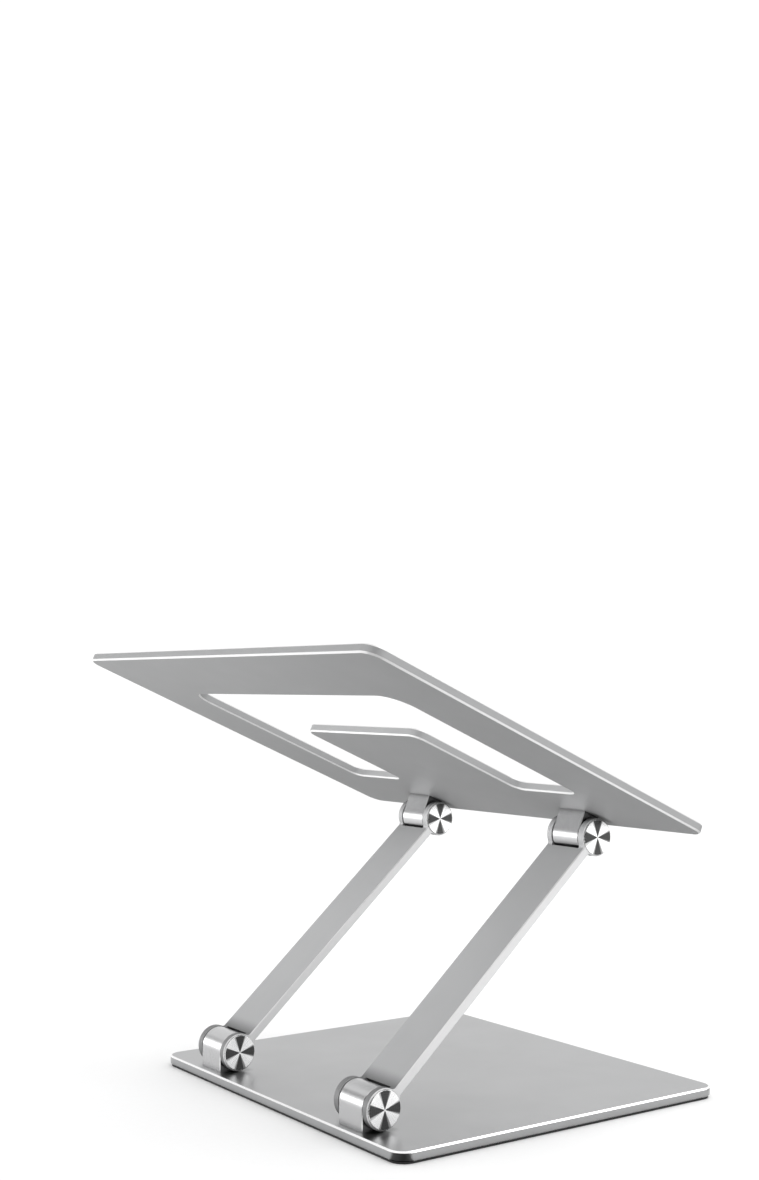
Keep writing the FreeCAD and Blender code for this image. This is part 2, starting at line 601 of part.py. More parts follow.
def write(parts, to_place):
    """Exports each node where it stands, after checking that it is made of sound closed solids."""
    for node, shape in parts.items():
        placed = to_place(shape)
        if not placed.isValid() or not placed.Solids:
            raise ValueError(f"{node} is not a sound solid")
        placed.exportStep(f"parts/{node}.step")
        print(f"{node:32s} {len(placed.Solids)} solid(s) {placed.Volume / 1000:8.2f} cm3")


os.makedirs("parts", exist_ok=True)
write(base_parts(), in_base)
for arm_side, arm_x in SIDES.items():
    write(arm_parts(arm_side, arm_x), in_arm)
write(tray_parts(), in_tray)
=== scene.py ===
"""Looks of a folding two-arm aluminium laptop stand, laid out as a Blender add-on, run as a script.

Everything is in metres in the stand's own frame: +X is the user's right, -Y points at the user, +Z is up.
"""

import json
import math

import bmesh
import bpy
from bpy.props import FloatProperty, FloatVectorProperty, IntProperty, PointerProperty
from mathutils import Euler, Matrix, Vector


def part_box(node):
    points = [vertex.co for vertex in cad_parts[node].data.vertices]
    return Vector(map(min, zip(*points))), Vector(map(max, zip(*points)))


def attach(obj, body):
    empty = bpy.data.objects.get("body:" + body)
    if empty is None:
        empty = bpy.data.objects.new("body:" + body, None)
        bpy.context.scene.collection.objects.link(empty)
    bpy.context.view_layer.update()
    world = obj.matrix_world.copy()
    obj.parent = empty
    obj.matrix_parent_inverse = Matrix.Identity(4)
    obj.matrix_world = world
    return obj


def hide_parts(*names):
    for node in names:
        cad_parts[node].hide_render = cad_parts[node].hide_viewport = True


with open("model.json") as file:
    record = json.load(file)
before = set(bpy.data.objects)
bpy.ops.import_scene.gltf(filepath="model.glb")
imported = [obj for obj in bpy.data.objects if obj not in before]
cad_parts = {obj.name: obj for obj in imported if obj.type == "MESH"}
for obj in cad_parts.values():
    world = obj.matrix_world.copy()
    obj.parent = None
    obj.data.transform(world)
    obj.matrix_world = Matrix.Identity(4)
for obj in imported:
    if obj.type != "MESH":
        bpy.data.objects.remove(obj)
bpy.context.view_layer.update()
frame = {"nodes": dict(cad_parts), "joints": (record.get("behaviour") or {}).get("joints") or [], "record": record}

bl_info = {
    "name": "Folding Laptop Stand",
    "version": (1, 0, 0),
    "blender": (4, 5, 0),
    "location": "3D View > Sidebar > Stand",
    "description": "Gives a folding aluminium laptop stand its turned hinge parts, pads, finishes and studio",
    "category": "Object",
}

MM = 0.001
SIDES = ("left", "right")
LEVELS = ("lower", "upper")


# ---------------------------------------------------------------- places taken from the frame
def joint_place(name):
    """Where a joint's axis passes, from the frame."""
    return Vector(next(joint["pos_m"] for joint in frame["joints"] if joint["name"] == name))


def mount_axis(name):
    """Direction of a mount, from the frame."""
    return Vector(next(mount["axis"] for mount in frame["record"]["mounts"] if mount["name"] == name))


LOWER_HINGE = joint_place("left_arm_lift")
UPPER_HINGE = joint_place("tray_tilt")
TRAY_NORMAL = mount_axis("left_pad_top")
TRAY_TILT = math.atan2(-TRAY_NORMAL.y, TRAY_NORMAL.z)
HINGE_PLACE = {"lower": LOWER_HINGE, "upper": UPPER_HINGE}
TRAY_FRAME = Matrix.Translation((0, UPPER_HINGE.y, UPPER_HINGE.z)) @ Matrix.Rotation(TRAY_TILT, 4, "X")


def arm_middle(side):
    """X of an arm's middle."""
    low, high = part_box(f"{side}_arm")
    return (low.x + high.x) / 2


def box_in(node, placed):
    """Lowest and highest corner of a CAD node in the frame placed, a matrix."""
    back = placed.inverted()
    points = [back @ vertex.co for vertex in frame["nodes"][node].data.vertices]
    low = Vector([min(point[axis] for point in points) for axis in range(3)])
    high = Vector([max(point[axis] for point in points) for axis in range(3)])
    return low, high


# ---------------------------------------------------------------- sizes and colours a user would change
class StandHardwareSizes(bpy.types.PropertyGroup):
    """Sizes of the turned hinge parts and the screws."""

    head_thickness: FloatProperty(
        name="Head Thickness", description="Along the hinge axis", default=2.1 * MM, unit="LENGTH",
    )
    head_chamfer: FloatProperty(
        name="Head Chamfer", description="Eased outer rim", default=0.25 * MM, unit="LENGTH",
    )
    groove_pitch: FloatProperty(
        name="Groove Pitch", description="Between turning marks", default=0.4 * MM, unit="LENGTH",
    )
    groove_depth: FloatProperty(
        name="Groove Depth", description="Of a turning mark", default=0.008 * MM, unit="LENGTH",
        precision=6,
    )
    dimple_radius: FloatProperty(
        name="Dimple Radius", description="Lathe centre mark", default=0.55 * MM, unit="LENGTH",
    )
    dimple_depth: FloatProperty(
        name="Dimple Depth", description="Lathe centre mark", default=0.2 * MM, unit="LENGTH",
    )
    pin_radius: FloatProperty(
        name="Pin Radius", description="Shank in the knuckle", default=4.0 * MM, unit="LENGTH",
    )
    pin_bore_radius: FloatProperty(
        name="Pin Bore Radius", description="Hole for the screw", default=2.55 * MM, unit="LENGTH",
    )
    pin_bore_depth: FloatProperty(
        name="Pin Bore Depth", description="Hole for the screw", default=11.0 * MM, unit="LENGTH",
    )
    screw_radius: FloatProperty(
        name="Screw Radius", description="Shank of the hinge screw", default=2.5 * MM, unit="LENGTH",
    )
    socket_width: FloatProperty(
        name="Socket Width", description="Across the flats", default=3.0 * MM, unit="LENGTH",
    )
    socket_depth: FloatProperty(
        name="Socket Depth", description="Of the hexagon socket", default=1.9 * MM, unit="LENGTH",
    )
    plate_screw_radius: FloatProperty(
        name="Plate Screw Radius", description="Shank of a knuckle screw", default=2.0 * MM,
        unit="LENGTH",
    )
    plate_screw_cone: FloatProperty(
        name="Plate Screw Cone", description="Height of the countersunk head", default=2.2 * MM,
        unit="LENGTH",
    )
    plate_socket_width: FloatProperty(
        name="Plate Socket Width", description="Across the flats", default=2.5 * MM, unit="LENGTH",
    )
    plate_socket_depth: FloatProperty(
        name="Plate Socket Depth", description="Of the hexagon socket", default=1.5 * MM, unit="LENGTH",
    )
    segments: IntProperty(name="Segments", description="Facets round a turned part", default=96, min=12)


class StandPadSizes(bpy.types.PropertyGroup):
    """Shape of the silicone pads."""

    crown: FloatProperty(
        name="Crown", description="Rise of a pad's middle", default=0.18 * MM, unit="LENGTH",
    )
    edge_radius: FloatProperty(
        name="Edge Radius", description="Round of the upper edge", default=0.45 * MM, unit="LENGTH",
    )
    strip_corner: FloatProperty(
        name="Strip Corner", description="Corner radius of a tray pad", default=9.9 * MM, unit="LENGTH",
    )
    hook_corner: FloatProperty(
        name="Hook Pad Corner", description="Corner radius of a hook pad", default=4.0 * MM,
        unit="LENGTH",
    )
    corner_steps: IntProperty(name="Corner Steps", description="Facets in each corner", default=14, min=3)


class StandFinishes(bpy.types.PropertyGroup):
    """Colours and roughness of the finishes."""

    anodised: FloatVectorProperty(
        name="Anodised", description="Blasted and anodised aluminium", subtype="COLOR",
        default=(0.43, 0.432, 0.436),
    )
    base: FloatVectorProperty(
        name="Base", description="Blasted top of the base plate", subtype="COLOR",
        default=(0.388, 0.39, 0.394),
    )
    # The tray's tone is its anodised grey set darker than the base's, as painted shade for its underside.
    tray: FloatVectorProperty(
        name="Tray", description="Blasted faces of the tray", subtype="COLOR",
        default=(0.345, 0.347, 0.35),
    )
    knuckle: FloatVectorProperty(
        name="Knuckle", description="Fine-ground knuckles", subtype="COLOR", default=(0.52, 0.52, 0.525),
    )
    arm: FloatVectorProperty(
        name="Arm", description="Blasted faces of the arms", subtype="COLOR",
        default=(0.39, 0.392, 0.396),
    )
    arm_edge: FloatVectorProperty(
        name="Arm Edge", description="Milled sides of the arms", subtype="COLOR",
        default=(0.68, 0.68, 0.685),
    )
    tray_edge: FloatVectorProperty(
        name="Tray Edge", description="Diamond-cut chamfers of the tray", subtype="COLOR",
        default=(0.70, 0.70, 0.70),
    )
    cut_edge: FloatVectorProperty(
        name="Cut Edge", description="Diamond-cut chamfers", subtype="COLOR", default=(0.95, 0.95, 0.95),
    )
    # Turned and the ray shade below are painted reflection: the bright and the dark rays that a spun face mirrors
    # are painted into its colour.
    turned: FloatVectorProperty(
        name="Turned", description="Bright rays of the spun hinge heads", subtype="COLOR",
        default=(1.0, 1.0, 1.0),
    )
    painted_ray_shade: FloatVectorProperty(
        name="Turned Shade", description="Dark rays of the spun hinge heads", subtype="COLOR",
        default=(0.06, 0.06, 0.06),
    )
    silicone: FloatVectorProperty(
        name="Silicone", description="Pads", subtype="COLOR", default=(0.035, 0.036, 0.038),
    )
    rubber: FloatVectorProperty(
        name="Rubber", description="Mat", subtype="COLOR", default=(0.022, 0.022, 0.023),
    )
    steel: FloatVectorProperty(
        name="Steel", description="Screws and springs", subtype="COLOR", default=(0.42, 0.42, 0.43),
    )
    nylon: FloatVectorProperty(
        name="Nylon", description="Friction washers", subtype="COLOR", default=(0.05, 0.05, 0.055),
    )
    anodised_roughness: FloatProperty(
        name="Anodised Roughness", description="Of the blasted faces", default=0.32, min=0, max=1,
        subtype="FACTOR",
    )
    grain_size: FloatProperty(
        name="Grain Size", description="Of the blasting", default=0.16 * MM, unit="LENGTH",
    )


class StandStage(bpy.types.PropertyGroup):
    """Camera, lights and floor."""

    paper: FloatVectorProperty(
        name="Paper", description="Floor of pale paper", subtype="COLOR", default=(0.95, 0.95, 0.95),
    )
    camera_place: FloatVectorProperty(
        name="Camera Place", description="Where the camera stands", subtype="TRANSLATION",
        default=(-0.6964, 0.5187, 0.2194),
    )
    camera_heading: FloatProperty(
        name="Camera Heading", description="Turn of the view about Z, from +X",
        default=math.radians(-34.85), subtype="ANGLE",
    )
    camera_rise: FloatProperty(
        name="Camera Rise", description="How far the view looks up", default=math.radians(3.52),
        subtype="ANGLE",
    )
    lens: FloatProperty(name="Lens", description="Focal length in mm", default=46.8, unit="CAMERA")
    sky_strength: FloatProperty(
        name="Sky Strength", description="Even light from all round", default=1.08, min=0,
    )
    top_power: FloatProperty(
        name="Top Power", description="Softbox above the front", default=6.0, unit="POWER",
    )
    side_power: FloatProperty(
        name="Side Power", description="Softbox at the front left", default=2.0, unit="POWER",
    )
    strip_power: FloatProperty(
        name="Strip Power", description="Low strip light at the rear right", default=4.0, unit="POWER",
    )
    fill_power: FloatProperty(
        name="Fill Power", description="Spot on the arms' upper ends", default=36.0, unit="POWER",
    )
    floor_size: FloatProperty(
        name="Floor Size", description="Side of the floor", default=30.0, unit="LENGTH",
    )


# ---------------------------------------------------------------- node trees
NUMBER = "NodeSocketFloat"
COUNT = "NodeSocketInt"


class Graph:
    """Short ways to add nodes to a tree and link them."""

    def __init__(self, tree):
        self.tree = tree

    def feed(self, socket, value):
        """Links value into socket if it is a socket, or sets it."""
        if isinstance(value, bpy.types.NodeSocket):
            self.tree.links.new(value, socket)
        else:
            socket.default_value = value

    def add(self, kind, inputs=None, **settings):
        """A new node with its settings and inputs."""
        node = self.tree.nodes.new(kind)
        for name, value in settings.items():
            setattr(node, name, value)
        for key, value in (inputs or {}).items():
            self.feed(node.inputs[key], value)
        return node

    def math(self, operation, *values):
        """Result of a Math node."""
        node = self.add("ShaderNodeMath", operation=operation)
        for socket, value in zip(node.inputs, values):
            self.feed(socket, value)
        return node.outputs[0]

    def mix(self, factor, start, end):
        """Number between start and end."""
        return self.math("ADD", start, self.math("MULTIPLY", factor, self.math("SUBTRACT", end, start)))


def geometry_tree(name, sockets):
    """New Geometry Nodes tree with geometry in and out, and named inputs from (name, type, default)."""
    tree = bpy.data.node_groups.new(name, "GeometryNodeTree")
    tree.interface.new_socket("Geometry", in_out="OUTPUT", socket_type="NodeSocketGeometry")
    tree.interface.new_socket("Geometry", in_out="INPUT", socket_type="NodeSocketGeometry")
    for socket_name, kind, default in sockets:
        socket = tree.interface.new_socket(socket_name, in_out="INPUT", socket_type=kind)
        if default is not None:
            socket.default_value = default
    return tree, Graph(tree)


def lathe_band_tree():
    """Band turned about X between two rings, round or hexagonal, that may carry turning marks."""
    tree, g = geometry_tree("Lathe Band", [
        ("Start Radius", NUMBER, 0.0), ("Start X", NUMBER, 0.0), ("Start Hexagon", NUMBER, 0.0),
        ("End Radius", NUMBER, 1.0), ("End X", NUMBER, 0.0), ("End Hexagon", NUMBER, 0.0),
        ("Groove Pitch", NUMBER, 1.0), ("Groove Depth", NUMBER, 0.0),
        ("Rings", COUNT, 1), ("Segments", COUNT, 96),
    ])
    given = g.add("NodeGroupInput").outputs
    grid = g.add("GeometryNodeMeshGrid", {
        "Size X": 1.0, "Size Y": 1.0,
        "Vertices X": g.math("ADD", given["Segments"], 1.0), "Vertices Y": g.math("ADD", given["Rings"], 1.0),
    })
    place = g.add("ShaderNodeSeparateXYZ", {0: g.add("GeometryNodeInputPosition").outputs[0]}).outputs
    turn = g.math("MULTIPLY", g.math("ADD", place["X"], 0.5), math.tau)
    along = g.math("ADD", place["Y"], 0.5)
    sixth = math.tau / 6
    within = g.math("SUBTRACT", g.math("FLOORED_MODULO", g.math("ADD", turn, sixth / 2), sixth), sixth / 2)
    hexagon = g.math("DIVIDE", math.cos(sixth / 2), g.math("COSINE", within))
    start = g.math("MULTIPLY", given["Start Radius"], g.mix(given["Start Hexagon"], 1.0, hexagon))
    end = g.math("MULTIPLY", given["End Radius"], g.mix(given["End Hexagon"], 1.0, hexagon))
    radius = g.mix(along, start, end)
    span = g.math("ABSOLUTE", g.math("SUBTRACT", given["End Radius"], given["Start Radius"]))
    waves = g.math("ROUND", g.math("DIVIDE", span, given["Groove Pitch"]))
    wave = g.math("COSINE", g.math("MULTIPLY", g.math("MULTIPLY", along, math.tau), waves))
    groove = g.math("MULTIPLY", given["Groove Depth"], g.math("MULTIPLY", g.math("SUBTRACT", 1.0, wave), 0.5))
    x = g.math("ADD", g.mix(along, given["Start X"], given["End X"]), groove)
    target = g.add("ShaderNodeCombineXYZ", {
        "X": x, "Y": g.math("MULTIPLY", radius, g.math("COSINE", turn)),
        "Z": g.math("MULTIPLY", radius, g.math("SINE", turn)),
    })
    turned = g.add("GeometryNodeSetPosition", {
        "Geometry": grid.outputs["Mesh"], "Position": target.outputs[0],
    })
    g.add("NodeGroupOutput", {"Geometry": turned.outputs[0]})
    return tree


class Profile:
    """Outline of a turned part, drawn ring by ring, that becomes Lathe Band nodes."""

    def __init__(self, g, band, segments):
        self.g = g
        self.band = band
        self.segments = segments
        self.ring = None
        self.bands = []

    def to(self, radius, x, hexagon=0.0, rings=1, pitch=1.0, depth=0.0):
        """Carries the outline on to a ring of this radius at x."""
        if self.ring is not None:
            start_radius, start_x, start_hexagon = self.ring
            node = self.g.add("GeometryNodeGroup", node_tree=self.band)
            values = {
                "Start Radius": start_radius, "Start X": start_x, "Start Hexagon": start_hexagon,
                "End Radius": radius, "End X": x, "End Hexagon": hexagon,
                "Groove Pitch": pitch, "Groove Depth": depth, "Rings": rings, "Segments": self.segments,
            }
            for key, value in values.items():
                self.g.feed(node.inputs[key], value)
            self.bands.append(node.outputs[0])
        self.ring = (radius, x, hexagon)

    def finish(self, given):
        """Joins the bands, sets one copy on each point of the input, and ends the tree."""
        g = self.g
        join = g.add("GeometryNodeJoinGeometry")
        for band in self.bands:
            g.tree.links.new(band, join.inputs[0])
        welded = g.add("GeometryNodeMergeByDistance", {"Geometry": join.outputs[0], "Distance": 1e-7})
        copies = g.add("GeometryNodeInstanceOnPoints", {
            "Points": given["Geometry"], "Instance": welded.outputs[0], "Rotation": given["Turn"],
        })
        real = g.add("GeometryNodeRealizeInstances", {"Geometry": copies.outputs[0]})
        finished = g.add("GeometryNodeSetMaterial", {
            "Geometry": real.outputs[0], "Material": given["Material"],
        })
        g.add("NodeGroupOutput", {"Geometry": finished.outputs[0]})


COMMON_SOCKETS = [
    ("Segments", COUNT, 96), ("Turn", "NodeSocketRotation", None),
    ("Material", "NodeSocketMaterial", None),
]
HEAD_SOCKETS = [
    ("Face X", NUMBER, -0.015), ("Head Radius", NUMBER, 0.0094), ("Head Thickness", NUMBER, 0.0021),
    ("Head Chamfer", NUMBER, 0.00025), ("Groove Pitch", NUMBER, 0.0004), ("Groove Depth", NUMBER, 0.00001),
    ("Groove Rings", COUNT, 120), ("Shank Radius", NUMBER, 0.004), ("End X", NUMBER, 0.012),
]


def draw_head(g, given, profile):
    """Carries a profile over a spun head, from its face's middle mark to the root of the shank."""
    rim = g.math("SUBTRACT", given["Head Radius"], given["Head Chamfer"])
    profile.to(rim, given["Face X"], rings=given["Groove Rings"], pitch=given["Groove Pitch"],
               depth=given["Groove Depth"])
    profile.to(given["Head Radius"], g.math("ADD", given["Face X"], given["Head Chamfer"]))
    seat = g.math("ADD", given["Face X"], given["Head Thickness"])
    profile.to(given["Head Radius"], seat)
    profile.to(given["Shank Radius"], seat)


def hinge_pin_tree(band):
    """Pin with a spun head facing -X, a lathe centre mark and a blind bore at its far end."""
    tree, g = geometry_tree("Hinge Pin", HEAD_SOCKETS + [
        ("Dimple Radius", NUMBER, 0.0005), ("Dimple Depth", NUMBER, 0.0002),
        ("Bore Radius", NUMBER, 0.0025), ("Bore Depth", NUMBER, 0.011),
    ] + COMMON_SOCKETS)
    given = g.add("NodeGroupInput").outputs
    profile = Profile(g, band, given["Segments"])
    profile.to(0.0, g.math("ADD", given["Face X"], given["Dimple Depth"]))
    profile.to(given["Dimple Radius"], given["Face X"])
    draw_head(g, given, profile)
    bottom = g.math("SUBTRACT", given["End X"], given["Bore Depth"])
    profile.to(given["Shank Radius"], given["End X"])
    profile.to(given["Bore Radius"], given["End X"])
    profile.to(given["Bore Radius"], bottom)
    profile.to(0.0, bottom)
    profile.finish(given)
    return tree


def draw_socket(g, face_x, width, depth, profile):
    """Carries a profile from the bottom of a hexagon socket up to the face, with an eased mouth."""
    corner = g.math("DIVIDE", width, math.sqrt(3))
    mouth = g.math("MULTIPLY", corner, 1.12)
    ease = g.math("MULTIPLY", corner, 0.12)
    floor = g.math("ADD", face_x, depth)
    profile.to(0.0, g.math("ADD", floor, g.math("MULTIPLY", corner, 0.3)))
    profile.to(corner, floor, hexagon=1.0)
    profile.to(corner, g.math("ADD", face_x, ease), hexagon=1.0)
    profile.to(mouth, face_x)


def hinge_screw_tree(band):
    """Screw with a spun head facing -X and a hexagon socket."""
    tree, g = geometry_tree("Hinge Screw", HEAD_SOCKETS + [
        ("Socket Width", NUMBER, 0.003), ("Socket Depth", NUMBER, 0.002),
    ] + COMMON_SOCKETS)
    given = g.add("NodeGroupInput").outputs
    profile = Profile(g, band, given["Segments"])
    draw_socket(g, given["Face X"], given["Socket Width"], given["Socket Depth"], profile)
    draw_head(g, given, profile)
    tip = g.math("MULTIPLY", given["Shank Radius"], 0.2)
    profile.to(given["Shank Radius"], g.math("SUBTRACT", given["End X"], tip))
    profile.to(g.math("SUBTRACT", given["Shank Radius"], tip), given["End X"])
    profile.to(0.0, given["End X"])
    profile.finish(given)
    return tree


def plate_screw_tree(band):
    """Countersunk socket screw, its head flush with X = 0 and its tip along +X."""
    tree, g = geometry_tree("Plate Screw", [
        ("Head Radius", NUMBER, 0.0037), ("Cone Height", NUMBER, 0.0022), ("Shank Radius", NUMBER, 0.002),
        ("Length", NUMBER, 0.01), ("Socket Width", NUMBER, 0.0025), ("Socket Depth", NUMBER, 0.0015),
    ] + COMMON_SOCKETS)
    given = g.add("NodeGroupInput").outputs
    profile = Profile(g, band, given["Segments"])
    draw_socket(g, 0.0, given["Socket Width"], given["Socket Depth"], profile)
    land = g.math("MULTIPLY", given["Head Radius"], 0.05)
    profile.to(g.math("SUBTRACT", given["Head Radius"], land), 0.0)
    profile.to(given["Head Radius"], land)
    profile.to(given["Shank Radius"], given["Cone Height"])
    tip = g.math("MULTIPLY", given["Shank Radius"], 0.25)
    profile.to(given["Shank Radius"], g.math("SUBTRACT", given["Length"], tip))
    profile.to(g.math("SUBTRACT", given["Shank Radius"], tip), given["Length"])
    profile.to(0.0, given["Length"])
    profile.finish(given)
    return tree


def grown_piece(name, tree, points, values, sharp_angle=math.radians(25)):
    """Plain mesh grown by a Geometry Nodes tree on points, with its doubles merged and its faces outward."""
    seed_mesh = bpy.data.meshes.new(f"{name}_points")
    seed_mesh.from_pydata([tuple(point) for point in points], [], [])
    seed = bpy.data.objects.new(f"{name}_seed", seed_mesh)
    modifier = seed.modifiers.new("Grow", "NODES")
    modifier.node_group = tree
    for item in tree.interface.items_tree:
        if item.item_type == "SOCKET" and item.in_out == "INPUT" and item.name in values:
            modifier[item.identifier] = values[item.name]
    bpy.context.scene.collection.objects.link(seed)
    bpy.context.view_layer.update()
    evaluated = seed.evaluated_get(bpy.context.evaluated_depsgraph_get())
    mesh = bpy.data.meshes.new_from_object(evaluated)
    bpy.data.objects.remove(seed)
    bpy.data.meshes.remove(seed_mesh)
    return mesh_piece(name, mesh, sharp_angle)


def mesh_piece(name, mesh, sharp_angle):
    """Object at the origin for a closed mesh, cleaned, facing outward and smooth but for its corners."""
    work = bmesh.new()
    work.from_mesh(mesh)
    bmesh.ops.remove_doubles(work, verts=work.verts, dist=1e-7)
    bmesh.ops.recalc_face_normals(work, faces=work.faces)
    open_edges = [edge for edge in work.edges if not edge.is_manifold]
    if open_edges:
        raise RuntimeError(f"{name} has {len(open_edges)} open edges")
    work.to_mesh(mesh)
    work.free()
    mesh.shade_smooth()
    mesh.set_sharp_from_angle(angle=sharp_angle)
    mesh.name = name
    piece = bpy.data.objects.new(name, mesh)
    bpy.context.scene.collection.objects.link(piece)
    return piece


# ---------------------------------------------------------------- materials
# Cosines between a face's normal and the axis that its piece was cut along: a chamfer lies near 0.71.
CHAMFER_LEAN = (0.56, 0.66, 0.75, 0.85)
ARM_SIDE_LEAN = (0.5, 0.7)
KNUCKLE_SHADED_SIDE_LEAN = (0.93, 0.98)
HEAD_FACE_LEAN = (0.9, 0.97)
X_AXIS = (1, 0, 0)
Z_AXIS = (0, 0, 1)
CLOUD_SIZE = 22 * MM
HANDLING_SIZE = 70 * MM
GRAIN_HEIGHT = 0.006 * MM
PEBBLE_HEIGHT = 0.02 * MM
NOOK_SHADE_DEPTH = 0.6
RINGS_PER_MM = 4.0
STREAK_SCALE = 9.0
# Pairs of painted reflection rays on a spun head.
PAINTED_RAY_PAIRS = 4.0
ARM_ROOT_START = 11 * MM
ARM_ROOT_END = 20 * MM
ARM_ROOT_SHADE = 0.5


def new_material(name):
    """Empty node material, its graph and its shader."""
    material = bpy.data.materials.new(name)
    material.use_nodes = True
    material.node_tree.nodes.clear()
    g = Graph(material.node_tree)
    shader = g.add("ShaderNodeBsdfPrincipled")
    g.add("ShaderNodeOutputMaterial", {"Surface": shader.outputs[0]})
    return material, g, shader


def object_place(g):
    """Object coordinates."""
    return g.add("ShaderNodeTexCoord").outputs["Object"]


def noise(g, place, size, detail=2.0, roughness=0.5):
    """Noise value whose features are about size across."""
    node = g.add("ShaderNodeTexNoise", {"Vector": place, "Scale": 1 / size, "Detail": detail,
                                        "Roughness": roughness})
    return node.outputs[0]


def ranged(g, value, low, high, to_low, to_high):
    """Value carried smoothly from low..high to to_low..to_high."""
    node = g.add("ShaderNodeMapRange", {"Value": value, "From Min": low, "From Max": high,
                                        "To Min": to_low, "To Max": to_high}, interpolation_type="SMOOTHSTEP")
    return node.outputs[0]


def bumped(g, height, distance):
    """Normal from a height that spans the distance."""
    return g.add("ShaderNodeBump", {"Height": height, "Distance": distance, "Strength": 1.0}).outputs[0]


def tinted(g, colour, factor):
    """Colour, given as a value or a socket, multiplied by a factor."""
    node = g.add("ShaderNodeMix", {"Factor": 1.0}, data_type="RGBA", blend_type="MULTIPLY")
    g.feed(node.inputs["A"], colour if isinstance(colour, bpy.types.NodeSocket) else (*colour, 1.0))
    combined = g.add("ShaderNodeCombineColor", {"Red": factor, "Green": factor, "Blue": factor})
    g.feed(node.inputs["B"], combined.outputs[0])
    return node.outputs["Result"]


def blended(g, factor, first, second):
    """Colour between two colours."""
    node = g.add("ShaderNodeMix", data_type="RGBA")
    g.feed(node.inputs["Factor"], factor)
    g.feed(node.inputs["A"], first)
    g.feed(node.inputs["B"], second)
    return node.outputs["Result"]


def leaning(g, axis, steps):
    """One where the cosine of a face's lean from an axis is between steps 2 and 3; zero at steps 1 and 4."""
    normal = g.add("ShaderNodeVectorTransform", vector_type="NORMAL", convert_from="WORLD",
                   convert_to="OBJECT")
    g.feed(normal.inputs[0], g.add("ShaderNodeNewGeometry").outputs["True Normal"])
    facing = g.add("ShaderNodeVectorMath", {0: normal.outputs[0], 1: axis}, operation="DOT_PRODUCT")
    lean = g.math("ABSOLUTE", facing.outputs["Value"])
    mask = ranged(g, lean, steps[0], steps[1], 0.0, 1.0)
    if len(steps) == 4:
        mask = g.math("MULTIPLY", mask, ranged(g, lean, steps[2], steps[3], 1.0, 0.0))
    return mask


def nook_shade(g, reach):
    """Factor of painted shade, from ambient occlusion, that darkens nooks and narrow gaps within reach."""
    nook = g.add("ShaderNodeAmbientOcclusion", {"Distance": reach}, samples=6)
    return ranged(g, nook.outputs["AO"], 0.25, 1.0, 1.0 - NOOK_SHADE_DEPTH, 1.0)


def root_shade(g, place, root):
    """Factor of painted shade that darkens an arm's root where it comes close round a knuckle on the X axis
    through root.
    """
    offset = g.add("ShaderNodeVectorMath", {0: place, 1: tuple(root)}, operation="SUBTRACT").outputs[0]
    across = g.add("ShaderNodeVectorMath", {0: offset, 1: (0, 1, 1)}, operation="MULTIPLY").outputs[0]
    distance = g.add("ShaderNodeVectorMath", {0: across}, operation="LENGTH").outputs["Value"]
    return ranged(g, distance, ARM_ROOT_START, ARM_ROOT_END, ARM_ROOT_SHADE, 1.0)


def blasted_aluminium(name, finishes, cut_axis, steps, colour=None, roughness=None, metallic=1.0,
                      cut_colour=None, cut_roughness=0.2, cut_metallic=None, painted_side_shade=1.0,
                      nook_reach=4 * MM, root=None):
    """Bead-blasted anodised aluminium, with bright cut faces where they lean from cut_axis by the steps.

    The side factor darkens flat faces square to X with painted shade, root is the hinge round which an arm's end
    is darkened with painted shade, and nook_reach is how far painted shade in nooks reaches.
    """
    material, g, shader = new_material(name)
    place = object_place(g)
    base = finishes.anodised_roughness if roughness is None else roughness
    grain = noise(g, place, finishes.grain_size, detail=3.0, roughness=0.65)
    cloud = noise(g, place, CLOUD_SIZE, detail=2.0)
    handled = noise(g, place, HANDLING_SIZE, detail=4.0, roughness=0.6)
    shade = g.math("ADD", ranged(g, grain, 0.3, 0.7, 0.965, 1.02), ranged(g, cloud, 0.3, 0.7, -0.012, 0.012))
    # Painted shade: flat faces square to X are darkened.
    if painted_side_shade != 1.0:
        side = leaning(g, X_AXIS, KNUCKLE_SHADED_SIDE_LEAN)
        shade = g.math("MULTIPLY", shade, g.mix(side, 1.0, painted_side_shade))
    # Painted shade at an arm's root round its hinge.
    if root is not None:
        shade = g.math("MULTIPLY", shade, root_shade(g, place, root))
    blasted = tinted(g, colour or finishes.anodised, shade)
    cut = leaning(g, cut_axis, steps)
    plain = blended(g, cut, blasted, (*(cut_colour or finishes.cut_edge), 1.0))
    # Painted shade from ambient occlusion darkens the colour in nooks and narrow gaps.
    g.feed(shader.inputs["Base Color"], tinted(g, plain, nook_shade(g, nook_reach)))
    dull = g.math("ADD", ranged(g, grain, 0.3, 0.7, base - 0.03, base + 0.04),
                  ranged(g, handled, 0.35, 0.7, -0.015, 0.02))
    g.feed(shader.inputs["Roughness"], g.mix(cut, dull, cut_roughness))
    metal = metallic if cut_metallic is None else g.mix(cut, metallic, cut_metallic)
    g.feed(shader.inputs["Metallic"], metal)
    height = g.math("MULTIPLY", grain, g.math("SUBTRACT", 1.0, cut))
    g.feed(shader.inputs["Normal"], bumped(g, height, GRAIN_HEIGHT))
    return material


